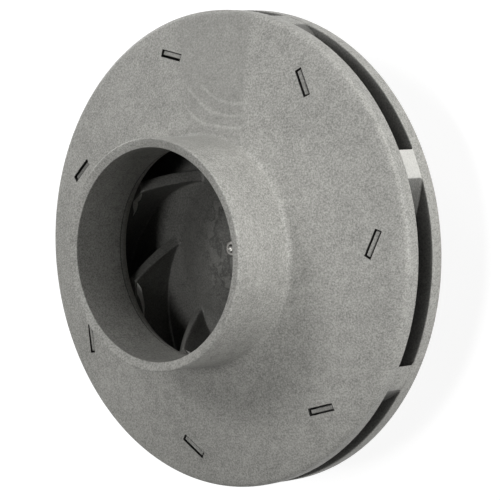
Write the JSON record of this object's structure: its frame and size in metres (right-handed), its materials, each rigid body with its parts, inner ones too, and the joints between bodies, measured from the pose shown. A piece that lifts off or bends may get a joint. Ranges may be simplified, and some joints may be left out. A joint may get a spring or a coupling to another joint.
{
  "type": "pump impeller",
  "caption": "Closed centrifugal pump impeller in moulded plastic: conical front shroud with a tall inlet neck, backward-curved vanes, flat back plate and a tapped metal insert in its hub.",
  "frame": {"origin": "on the shaft axis, at the end of the rear seal boss, on which the impeller stands", "axes": "+Z along the shaft axis towards the inlet eye; +X through the first tenon slot; +Y completes the right-handed frame"},
  "size_m": [0.13, 0.13, 0.0636],
  "materials": {
    "shroud_plastic": "grey glass-filled moulding with a faint speckle",
    "plate_plastic": "grey glass-filled moulding with a faint speckle",
    "insert_steel": "turned stainless steel"
  },
  "bodies": {
    "root": {"front_shroud": "shroud_plastic", "vane_plate": "plate_plastic", "shaft_insert": "insert_steel"}
  },
  "joints": []
}
